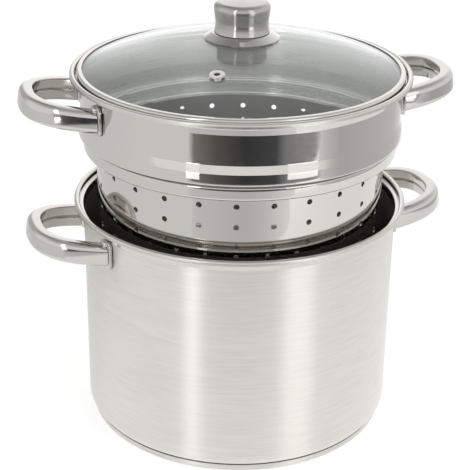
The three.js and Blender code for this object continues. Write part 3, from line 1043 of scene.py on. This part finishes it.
    def pierced_ring(self) -> Piece:
        """Repeats the tile in rows and columns and bends the strip into a ring.

        Returns:
            Open ring of the basket's wall at its height.
        """
        width = FULL_TURN * self.basket / self.hole_columns
        piece = self.pierced_tile(width)
        for count, step in ((self.hole_columns, (1, 0, 0)), (self.hole_rows, (0, 0, -1))):
            apply_modifier(piece, "ARRAY", count=count, relative_offset_displace=step)
        tidy(piece)
        edit_all(piece)
        bpy.ops.transform.translate(value=(-(self.hole_columns - 1) / 2 * width * MM, 0, 0))
        close()
        apply_modifier(piece, "SIMPLE_DEFORM", deform_method="BEND", deform_axis="Z", angle=FULL_TURN)
        edit_all(piece)
        top_row = self.plug_bottom - self.first_row
        bpy.ops.transform.translate(value=(0, -self.basket * MM, top_row * MM))
        turn(math.radians(self.column_turn), "Z")
        close()
        tidy(piece)
        return piece

    def add_flange(self, piece: Piece) -> None:
        """Draws the ring's top edge up and out into the flange that hangs on the collar's shelf.

        Args:
            piece: Ring of the basket's wall.
        """
        sheet = self.steel.sheet
        flange = self.plug_bottom + sheet + self.steel.fit_gap + sheet / 2
        top = max(point.co.z for point in piece.data.vertices)
        edit_where(piece, lambda place: place.z > top - SAME_PLACE)
        bpy.ops.mesh.extrude_edges_move(TRANSFORM_OT_translate={"value": (0, 0, flange * MM - top)})
        self.draw_ring(self.basket, self.basket + self.flange, 0.0)
        close()

    def draw_ring(self, before: float, after: float, lift: float) -> None:
        """Extrudes the selected ring to another radius and height.

        Args:
            before: Its radius.
            after: Its next radius.
            lift: Change of height.
        """
        bpy.ops.mesh.extrude_edges_move(TRANSFORM_OT_translate={"value": (0, 0, lift * MM)})
        scale = after / before
        bpy.ops.transform.resize(value=(scale, scale, 1), center_override=(0, 0, 0))

    def add_floor(self, piece: Piece) -> None:
        """Draws the ring's lower edge round the corner and closes it with the floor.

        Args:
            piece: Ring of the basket's wall.
        """
        sheet = self.steel.sheet
        floor = self.plug_bottom - self.basket_depth + sheet / 2
        corner = self.basket_corner - sheet / 2
        low = min(point.co.z for point in piece.data.vertices)
        edit_where(piece, lambda place: place.z < low + SAME_PLACE)
        steps = 2 * ARC_PIECES
        radius = self.basket
        height = low / MM
        for i in range(steps + 1):
            angle = i / steps * math.pi / 2
            next_radius = self.basket - corner * (1 - math.cos(angle))
            next_height = floor + corner * (1 - math.sin(angle))
            self.draw_ring(radius, next_radius, next_height - height)
            radius = next_radius
            height = next_height
        self.draw_ring(radius, radius - self.floor_margin, 0.0)
        bpy.ops.mesh.edge_face_add()
        close()
        tidy(piece)

    def pierce_floor(self, piece: Piece) -> None:
        """Cuts a centre hole and rings of holes through the floor.

        Args:
            piece: The basket.
        """
        size = {"vertices": self.floor_hole_sides, "radius": self.hole / 2 * MM, "depth": self.hole * MM}
        for ring in range(self.floor_rings + 1):
            count = max(ring * self.floor_ring_holes, 1)
            for i in range(count):
                angle = i / count * FULL_TURN + math.radians(self.column_turn)
                place = Vector((math.cos(angle), math.sin(angle), 0)) * ring * self.floor_ring_pitch
                place.z = self.plug_bottom - self.basket_depth
                bpy.ops.mesh.primitive_cylinder_add(location=place * MM, **size)
                combine(piece, bpy.context.object, "DIFFERENCE")


@dataclass
class Lid:
    """Domed glass lid with a steel rim, a vent eyelet and a knob on a brim."""

    crest: float
    glass: float = 4.0
    rise: float = 25.0
    channel_sheet: float = 0.6
    channel_width: float = 4.2
    channel_low_round: float = 1.1
    channel_high_round: float = 1.9
    dome_pieces: int = 14
    edge_rounding: float = 9.0
    vent_distance: float = 77.5
    vent_degrees: float = -122.14
    vent_hole: float = 2.2
    vent_tube: float = 3.6
    vent_flange: float = 6.2
    vent_lip: float = 0.9
    vent_sides: int = 48
    brim_radius: float = 30.3
    brim_flat: float = 23.5
    brim_slope: float = 4.2
    brim_sheet: float = 0.9
    brim_rounding: float = 1.5
    gasket_radius: float = 14.0
    washer_radius: float = 9.0
    washer_sheet: float = 1.2
    ring_softness: float = 0.25
    screw_radius: float = 2.5
    screw_hole: float = 3.0
    screw_head: float = 5.0
    screw_head_height: float = 3.0
    screw_head_rounding: float = 2.0
    screw_engagement: float = 12.0
    knob_height: float = 24.5
    knob_top: float = 22.7
    knob_waist: float = 21.0
    knob_waist_height: float = 6.3
    knob_waist_rounding: float = 22.0
    knob_foot: float = 22.3
    knob_shoulder_drop: float = 5.4
    knob_shoulder_rounding: float = 16.0
    knob_edge: float = 4.5
    knob_crown: float = 0.45
    knob_sheet: float = 0.9
    steel: Steel = Steel()

    @property
    def base(self) -> float:
        """Height of the underside of the steel rim."""
        return self.steel.on_ledge(self.crest)

    @property
    def channel_height(self) -> float:
        """Height of the steel rim."""
        return self.glass + 2 * self.channel_sheet + 2 * self.steel.fit_gap

    @property
    def edge_level(self) -> float:
        """Height of the middle of the glass inside the rim."""
        return self.base + self.channel_height / 2

    @property
    def dome_edge(self) -> float:
        """Radius at which the flat edge of the glass turns up into the dome."""
        return self.steel.seat - self.channel_width - self.steel.fit_gap

    @property
    def dome_radius(self) -> float:
        """Radius of the dome in the middle of the glass."""
        return (self.dome_edge**2 + self.rise**2) / (2 * self.rise)

    def dome(self, distance: float, above: float = 0.0) -> float:
        """Height of the dome at a distance from the axis, so far above the middle of the glass."""
        centre = self.edge_level + self.rise - self.dome_radius
        return centre + math.sqrt((self.dome_radius + above) ** 2 - distance**2)

    @property
    def middle(self) -> float:
        """Height of the middle of the glass at its level centre."""
        return self.dome(self.gasket_radius)

    @property
    def brim_top(self) -> float:
        """Height of the brim's flat."""
        edge = self.dome(self.brim_radius, self.glass / 2) + self.steel.fit_gap
        return edge + self.brim_slope + self.brim_sheet

    @property
    def foot(self) -> float:
        """Height of the knob's foot."""
        return self.brim_top + self.steel.fit_gap

    def build(self) -> None:
        """Makes the lid's pieces."""
        self.build_glass()
        self.build_channel()
        self.build_vent()
        self.build_brim()
        self.build_knob()
        self.build_fastening()

    def build_glass(self) -> None:
        """Spins the domed glass and pierces it for the vent."""
        edge = self.steel.seat - self.channel_sheet - self.steel.fit_gap
        reach = self.dome_edge - self.gasket_radius
        distances = [self.gasket_radius + i / self.dome_pieces * reach for i in range(self.dome_pieces)]
        corners = [Corner(self.screw_hole, self.middle)]
        corners += [Corner(distance, self.dome(distance)) for distance in distances]
        corners.append(Corner(self.dome_edge, self.edge_level, self.edge_rounding))
        corners.append(Corner(edge, self.edge_level))
        piece = spun("lid_glass_look", corners, self.glass)
        bore = (self.vent_tube + self.steel.fit_gap) * MM
        bpy.ops.mesh.primitive_cylinder_add(vertices=self.vent_sides, radius=bore, depth=self.rise * MM)
        punch = bpy.context.object
        self.move_to_vent(punch)
        combine(piece, punch, "DIFFERENCE")
        smooth(piece)
        hand_over(piece, Body.LID, LID_GLASS)

    def move_to_vent(self, piece: Piece) -> None:
        """Moves what stands on the origin to the vent, square to the glass.

        Args:
            piece: Piece to move.
        """
        lean = math.asin(self.vent_distance / self.dome_radius)
        edit_all(piece)
        turn(lean, "Y")
        bpy.ops.transform.translate(value=(self.vent_distance * MM, 0, self.dome(self.vent_distance) * MM))
        turn(math.radians(self.vent_degrees), "Z")
        close()

    def build_channel(self) -> None:
        """Spins the steel channel that is folded round the edge of the glass."""
        inner = self.steel.seat - self.channel_width
        outer = self.steel.seat - self.channel_sheet / 2
        low = self.base + self.channel_sheet / 2
        high = self.base + self.channel_height - self.channel_sheet / 2
        corners = [
            Corner(inner, low),
            Corner(outer, low, self.channel_low_round),
            Corner(outer, high, self.channel_high_round),
            Corner(inner, high),
        ]
        hand_over(spun("lid_rim_look", corners, self.channel_sheet), Body.LID, MIRROR_STEEL)

    def build_vent(self) -> None:
        """Spins the eyelet with a rounded flange on each face and moves it to its place."""
        over = self.glass / 2 + self.steel.fit_gap
        top = over + self.vent_lip
        soft = self.vent_lip / 2
        corners = [
            Corner(self.vent_hole, 0),
            Corner(self.vent_hole, -top, soft),
            Corner(self.vent_flange, -top, soft),
            Corner(self.vent_flange, -over),
            Corner(self.vent_tube, -over),
            Corner(self.vent_tube, over),
            Corner(self.vent_flange, over),
            Corner(self.vent_flange, top, soft),
            Corner(self.vent_hole, top, soft),
            Corner(self.vent_hole, over),
        ]
        piece = spun("lid_vent_eyelet_look", corners, steps=SMALL_STEPS, ring=True)
        self.move_to_vent(piece)
        hand_over(piece, Body.LID, MIRROR_STEEL)

    def build_brim(self) -> None:
        """Spins the conical brim under the knob."""
        half = self.brim_sheet / 2
        flat = self.brim_top - half
        corners = [
            Corner(self.brim_radius - half, flat - self.brim_slope),
            Corner(self.brim_flat, flat, self.brim_rounding),
            Corner(self.screw_hole, flat),
        ]
        piece = spun("knob_brim_look", corners, self.brim_sheet, SMALL_STEPS)
        hand_over(piece, Body.LID, MIRROR_STEEL)

    def build_knob(self) -> None:
        """Spins the pressed knob: flared foot, waist, widest shoulder, rounded edge and low crown."""
        half = self.knob_sheet / 2
        top = self.foot + self.knob_height - half
        edge = top - self.knob_crown
        wide = self.knob_top - half
        corners = [
            Corner(self.knob_foot - half, self.foot),
            Corner(self.knob_waist - half, self.foot + self.knob_waist_height, self.knob_waist_rounding),
            Corner(wide, edge - self.knob_shoulder_drop, self.knob_shoulder_rounding),
            Corner(wide, edge, self.knob_edge),
            Corner(0, top),
        ]
        piece = spun("knob_shell_look", corners, self.knob_sheet, SMALL_STEPS)
        hand_over(piece, Body.LID, KNOB_STEEL)

    def build_fastening(self) -> None:
        """Spins the gasket over the glass, and the washer and the pan-head screw under it."""
        gap = self.steel.fit_gap
        low = self.middle + self.glass / 2 + gap
        high = self.brim_top - self.brim_sheet - gap
        self.build_ring("knob_gasket_look", self.gasket_radius, low, high, SILICONE)
        top = self.middle - self.glass / 2 - gap
        self.build_ring("knob_washer_look", self.washer_radius, top - self.washer_sheet, top, SATIN_STEEL)
        head = top - self.washer_sheet - gap
        corners = [
            Corner(0, head - self.screw_head_height),
            Corner(self.screw_head, head - self.screw_head_height, self.screw_head_rounding),
            Corner(self.screw_head, head),
            Corner(self.screw_radius, head),
            Corner(self.screw_radius, self.foot + self.screw_engagement),
            Corner(0, self.foot + self.screw_engagement),
        ]
        hand_over(spun("knob_screw_look", corners, steps=SMALL_STEPS), Body.LID, SATIN_STEEL)

    def build_ring(self, name: str, radius: float, low: float, high: float, finish: Finish) -> None:
        """Spins a flat ring round the screw with softened edges.

        Args:
            name: Name of the piece.
            radius: Its outer radius.
            low: Height of its underside.
            high: Height of its top.
            finish: Its finish.
        """
        soft = (high - low) * self.ring_softness
        middle = (low + high) / 2
        corners = [
            Corner(self.screw_hole, middle),
            Corner(self.screw_hole, low, soft),
            Corner(radius, low, soft),
            Corner(radius, high, soft),
            Corner(self.screw_hole, high, soft),
            Corner(self.screw_hole, middle + soft),
        ]
        hand_over(spun(name, corners, steps=SMALL_STEPS, ring=True), Body.LID, finish)


def seen_by(tree: Tree, *kinds: str) -> Socket:
    """Tells kinds of rays from all others.

    Args:
        tree: Tree of a material or of the world.
        kinds: Outputs of the Light Path node.

    Returns:
        Socket that is 1 for a ray of one of the kinds, and 0 for others.
    """
    rays = add_node(tree, "ShaderNodeLightPath", {})
    seen = rays.outputs[kinds[0]]
    for kind in kinds[1:]:
        inputs = {0: seen, 1: rays.outputs[kind]}
        seen = add_node(tree, "ShaderNodeMath", inputs, operation="MAXIMUM").outputs["Value"]
    return seen


def greys_around(tree: Tree, place: Socket, facing: float, greys: Greys) -> Socket:
    """Adds greys that change with the angle about the axis.

    Args:
        tree: Tree of a material or of the world.
        place: Socket with a place or a direction.
        facing: Direction that the angles are counted from.
        greys: Angles in degrees, rising, each with its grey.

    Returns:
        Socket with the grey.
    """
    mapping = add_node(tree, "ShaderNodeMapping", {"Vector": place, "Rotation": (0, 0, -facing)})
    inputs = {"Vector": mapping.outputs["Vector"]}
    angle = add_node(tree, "ShaderNodeTexGradient", inputs, gradient_type="RADIAL")
    ramp = add_node(tree, "ShaderNodeValToRGB", {"Fac": angle.outputs["Fac"]})
    stops = ramp.color_ramp.elements
    stops.remove(stops[0])
    for i, (degrees, grey) in enumerate(greys):
        share = 0.5 + math.radians(degrees) / FULL_TURN
        stop = stops.new(share) if i else stops[0]
        stop.position = share
        stop.color = linear(grey)
    return ramp.outputs["Color"]


@dataclass(frozen=True)
class FloorPaint(Moulding):
    """Matt white floor paint, a little lighter to the eye, to metal and to glass than the lamps make it."""

    glow: float = 0.47

    def detail(self, tree: Tree, shader: Node) -> None:
        """Adds the grain and the light that makes the background white and leaves the shadow.

        Args:
            tree: Tree of the material.
            shader: The material's shader.
        """
        super().detail(tree, shader)
        seen = seen_by(tree, "Is Camera Ray", "Is Glossy Ray", "Is Transmission Ray")
        glow = add_node(tree, "ShaderNodeMath", {0: seen, 1: self.glow}, operation="MULTIPLY")
        tree.links.new(glow.outputs["Value"], shader.inputs["Emission Strength"])
        shader.inputs["Emission Color"].default_value = linear(WHITE)


@dataclass(frozen=True)
class GradedCard(Finish):
    """Card in plain greys that change round the pot, seen by the steel as they are written."""

    facing: float = 0.0
    greys: Greys = ()

    def detail(self, tree: Tree, shader: Node) -> None:
        """Adds the greys by their angles from the direction that the card faces.

        Args:
            tree: Tree of the material.
            shader: The material's shader, which the card's own light replaces.
        """
        place = add_node(tree, "ShaderNodeTexCoord", {})
        grey = greys_around(tree, place.outputs["Object"], self.facing, self.greys)
        shown = add_node(tree, "ShaderNodeEmission", {"Color": grey})
        tree.links.new(shown.outputs["Emission"], tree.nodes["Material Output"].inputs["Surface"])


@dataclass(frozen=True)
class Softbox:
    """Tall soft lamp that faces the pot, at an angle from the camera's direction as seen from above.

    It is lit in tiers, each with its own radiance, from the lowest one up.
    """

    name: str
    degrees: float
    width: float
    radiances: tuple[float, ...]
    distance: float = 880.0
    tier_edges: tuple[int, ...] = (20, 92, 140, 300, 1400)


@dataclass(frozen=True)
class Card:
    """Card on the floor round the pot for the steel to show, with its greys by angle from the camera."""

    name: str
    near: float
    far: float
    lift: float
    greys: Greys
    corner_degrees: float = 20.0
    corner_depth: float = 65.0

    def edge(self, share: float) -> tuple[float, float]:
        """Finds a point of the near edge, which is rounded off at both ends.

        Args:
            share: 0 at the first angle, 1 at the last.

        Returns:
            Angle in degrees and distance from the axis.
        """
        first = self.greys[0][0]
        last = self.greys[-1][0]
        degrees = first + share * (last - first)
        inward = min(degrees - first, last - degrees)
        bend = max(1 - inward / self.corner_degrees, 0.0)
        return degrees, self.near + self.corner_depth * (1 - math.sqrt(1 - bend**2))


FRONT_GREYS = (
    (-33.5, "f0f0f0"), (-29.5, "858380"), (-15.0, "625f5c"), (4.0, "3e3f41"),
    (23.0, "4e5054"), (29.0, "8a8b8d"), (49.0, "a8a8a8"), (53.0, "e0e0e0"),
)
TABLE_GREYS = ((-50.0, WHITE), (-30.0, "e2e2e2"), (4.0, "d3d3d3"), (16.0, "dcdcdc"), (36.0, WHITE))
RIGHT_GREYS = ((52.0, "f0f0f0"), (59.0, "d9d9d9"), (68.0, "c8c8c8"), (130.0, "d8d8d8"), (150.0, "f0f0f0"))
LEFT_GREYS = ((-160.0, "dcdcdc"), (-70.0, "f0f0f0"), (-33.0, "f0f0f0"))
SKY_GREYS = (
    (-168.0, WHITE), (-155.0, "b5b5b5"), (-125.0, "b5b5b5"),
    (-100.0, "e3e3e3"), (150.0, "e3e3e3"), (168.0, WHITE),
)


@dataclass
class Studio:
    """White floor and surroundings, two softboxes, grey cards for the polished steel, and the camera."""

    camera_turn: float = 18.8
    camera_distance: float = 1004.0
    camera_height: float = 612.0
    pan: float = -0.18
    tilt: float = 24.53
    roll: float = 0.84
    focal_pixels: float = 1297.0
    image_pixels: float = 470.0
    sensor: float = 36.0
    floor_size: float = 12000.0
    floor_colour: str = "e0e0e0"
    floor_grain: float = 3.0
    sky_light: float = 1.3
    overhead_start: float = 0.5
    overhead_end: float = 0.95
    overhead_share: float = 0.5
    card_steps: int = 48
    softboxes: tuple[Softbox, ...] = (
        Softbox("softbox_left", -29.3, 130.0, (1.3, 6.0, 0.2, 1.6)),
        Softbox("softbox_right", 40.1, 314.0, (1.1, 4.5, 0.2, 0.6)),
    )
    cards: tuple[Card, ...] = (
        Card("card_front", 815.0, 3000.0, 2.0, FRONT_GREYS),
        Card("card_table", 540.0, 900.0, 1.0, TABLE_GREYS),
        Card("card_right", 760.0, 3000.0, 1.5, RIGHT_GREYS),
        Card("card_left", 420.0, 3000.0, 1.5, LEFT_GREYS),
    )

    @property
    def heading(self) -> float:
        """Direction from the axis to the camera, seen from above."""
        return -math.pi / 2 - math.radians(self.camera_turn)

    def around(self, degrees: float, distance: float, height: float) -> Vector:
        """Finds a place in metres from its angle to the camera's direction, its distance and its height."""
        angle = self.heading + math.radians(degrees)
        return Vector((math.cos(angle) * distance, math.sin(angle) * distance, height)) * MM

    def build(self) -> None:
        """Makes the stage."""
        self.build_camera()
        self.build_world()
        self.build_floor()
        for softbox in self.softboxes:
            self.build_softbox(softbox)
        for card in self.cards:
            self.build_card(card)

    def build_camera(self) -> None:
        """Places the camera as it was fitted to the photograph."""
        bpy.ops.object.camera_add()
        camera = bpy.context.object
        camera.data.sensor_width = self.sensor
        camera.data.lens = self.focal_pixels / self.image_pixels * self.sensor
        camera.data.clip_end = self.floor_size * MM
        aim = Matrix.Rotation(-math.radians(self.pan + self.camera_turn), 4, "Z")
        aim @= Matrix.Rotation(math.pi / 2 - math.radians(self.tilt), 4, "X")
        aim @= Matrix.Rotation(math.radians(self.roll), 4, "Z")
        place = self.around(0.0, self.camera_distance, self.camera_height)
        camera.matrix_world = Matrix.Translation(place) @ aim
        bpy.context.scene.camera = camera

    def build_world(self) -> None:
        """Makes the surroundings white to the eye and through glass.

        The steel sees them paler behind the pot and darker overhead and at the back left.
        """
        world = bpy.data.worlds.new("white_studio")
        world.use_nodes = True
        tree = world.node_tree
        sky = tree.nodes["Background"]
        direction = add_node(tree, "ShaderNodeTexCoord", {}).outputs["Generated"]
        grey = greys_around(tree, direction, self.heading, SKY_GREYS)
        tree.links.new(grey, sky.inputs["Color"])
        parts = add_node(tree, "ShaderNodeSeparateXYZ", {"Vector": direction})
        limits = {"From Min": self.overhead_start, "From Max": self.overhead_end}
        limits |= {"To Min": self.sky_light, "To Max": self.sky_light * self.overhead_share}
        light = add_node(tree, "ShaderNodeMapRange", {"Value": parts.outputs["Z"]} | limits)
        tree.links.new(light.outputs["Result"], sky.inputs["Strength"])
        white = add_node(tree, "ShaderNodeBackground", {"Color": linear(WHITE), "Strength": 1.0})
        direct = seen_by(tree, "Is Camera Ray", "Is Transmission Ray")
        inputs = {0: direct, 1: sky.outputs["Background"], 2: white.outputs["Background"]}
        shown = add_node(tree, "ShaderNodeMixShader", inputs)
        tree.links.new(shown.outputs["Shader"], tree.nodes["World Output"].inputs["Surface"])
        bpy.context.scene.world = world

    def build_floor(self) -> None:
        """Makes the pale floor."""
        floor = new_plane("floor")
        bpy.ops.transform.resize(value=(self.floor_size * MM,) * 3)
        close()
        finish = FloorPaint("painted_floor", None, self.floor_colour, MATT, 0.0, grain=self.floor_grain)
        floor.data.materials.append(finish.material())

    def build_softbox(self, softbox: Softbox) -> None:
        """Places the tiers of a soft lamp upright and facing the pot's axis.

        Args:
            softbox: Lamp to place.
        """
        upright = (math.pi / 2, 0, self.heading + math.radians(softbox.degrees) + math.pi / 2)
        edges = softbox.tier_edges
        for low, high, radiance in zip(edges, edges[1:], softbox.radiances):
            place = self.around(softbox.degrees, softbox.distance, (low + high) / 2)
            bpy.ops.object.light_add(type="AREA", location=place, rotation=upright)
            lamp = bpy.context.object
            lamp.name = f"{softbox.name}_{low}"
            lamp.data.shape = "RECTANGLE"
            lamp.data.size = softbox.width * MM
            lamp.data.size_y = (high - low) * MM
            lamp.data.energy = radiance * math.pi * lamp.data.size * lamp.data.size_y

    def build_card(self, card: Card) -> None:
        """Draws a card's near edge and widens it outwards, out of the camera's sight and casting no shadow.

        Args:
            card: Card to make.
        """
        edge = [card.edge(i / self.card_steps) for i in range(self.card_steps + 1)]
        points = [self.around(degrees, distance, card.lift) for degrees, distance in edge]
        piece = new_line(card.name, points)
        bpy.ops.mesh.select_all(action="SELECT")
        bpy.ops.mesh.extrude_edges_move()
        widen = card.far / card.near
        bpy.ops.transform.resize(value=(widen, widen, 1), center_override=(0, 0, 0))
        close()
        finish = GradedCard(f"{card.name}_paper", None, WHITE, MATT, 0.0, self.heading, card.greys)
        piece.data.materials.append(finish.material())
        piece.visible_camera = False
        piece.visible_diffuse = False
        piece.visible_transmission = False
        piece.visible_shadow = False


def dress_hidden(frame: dict[str, Any]) -> None:
    """Gives the CAD nodes that stay inside the base and the knob their materials.

    Args:
        frame: The loaded frame.
    """
    for node, finish in (("pot_base_core", CORE_ALUMINIUM), ("knob_core", KNOB_RESIN)):
        materials = frame["nodes"][node].data.materials
        materials.clear()
        materials.append(finish.material())
        LOG.info("%s keeps its CAD shape", node)


def main() -> None:
    """Builds the pot, the insert, the lid and the stage in order."""
    logging.basicConfig(level=logging.INFO, format="%(message)s")
    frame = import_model()
    scene = bpy.context.scene
    scene.view_settings.view_transform = "Standard"
    insert = Insert()
    Pot().build()
    insert.build()
    Lid(insert.crest).build()
    dress_hidden(frame)
    Studio().build()
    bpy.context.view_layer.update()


if __name__ == "__main__":
    main()
